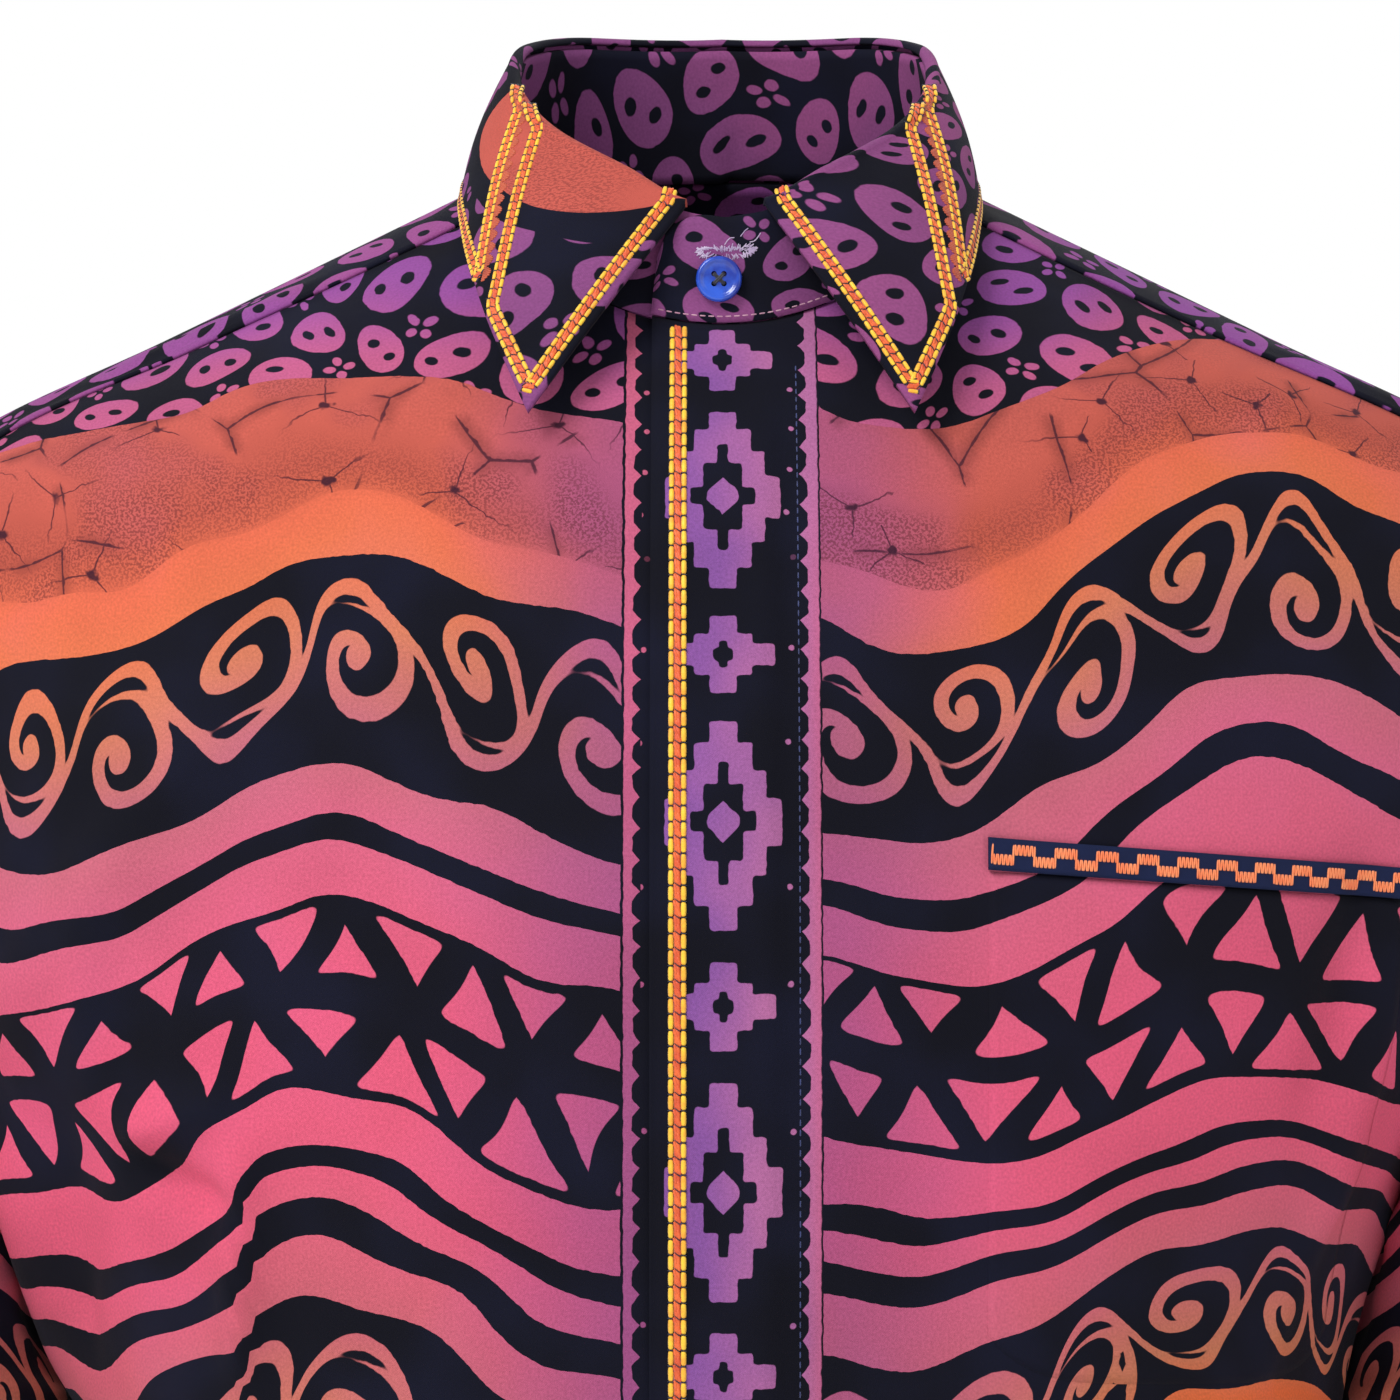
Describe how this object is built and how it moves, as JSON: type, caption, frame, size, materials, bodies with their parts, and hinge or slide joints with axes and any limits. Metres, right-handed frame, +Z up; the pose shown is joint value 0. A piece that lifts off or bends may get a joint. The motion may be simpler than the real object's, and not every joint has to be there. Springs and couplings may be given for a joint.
{
  "type": "shirt",
  "caption": "Long-sleeved batik shirt in indigo, purple, coral and orange, with a spread collar, a hidden-button front and a chest pocket",
  "frame": {"origin": "centre of the neck at the height of the shoulders, where the wearer's neck base carries the shirt", "axes": "+Z up; -Y is the front of the shirt; +X is the wearer's left; metres"},
  "size_m": [0.6508, 0.2583, 0.8207],
  "materials": {
    "batik_front": "plain-weave cotton, wax-resist dyed in coral, pink, orange and purple on navy",
    "batik_back": "plain-weave cotton, wax-resist dyed, like the fronts",
    "batik_yoke": "plain-weave cotton, navy with purple ovals",
    "batik_sleeve": "plain-weave cotton, wax-resist dyed, like the fronts",
    "batik_cuff": "plain-weave cotton, navy with purple ovals",
    "batik_stand": "interfaced plain-weave cotton, navy with purple and coral marks",
    "batik_collar": "interfaced plain-weave cotton, navy with purple ovals and a chain-stitched edge",
    "navy_welt": "plain-weave navy cotton with orange satin stitch",
    "button_blue": "glossy blue resin"
  },
  "bodies": {
    "root": {"front_left": "batik_front", "front_right": "batik_front", "back": "batik_back", "yoke": "batik_yoke", "sleeve_left": "batik_sleeve", "sleeve_right": "batik_sleeve", "cuff_left": "batik_cuff", "cuff_right": "batik_cuff", "collar_stand": "batik_stand", "collar_leaf": "batik_collar", "pocket": "batik_front", "pocket_welt": "navy_welt", "stand_button": "button_blue", "fly_button_1": "button_blue", "fly_button_2": "button_blue", "fly_button_3": "button_blue", "fly_button_4": "button_blue", "fly_button_5": "button_blue", "fly_button_6": "button_blue", "cuff_button_left": "button_blue", "cuff_button_right": "button_blue"}
  },
  "joints": []
}
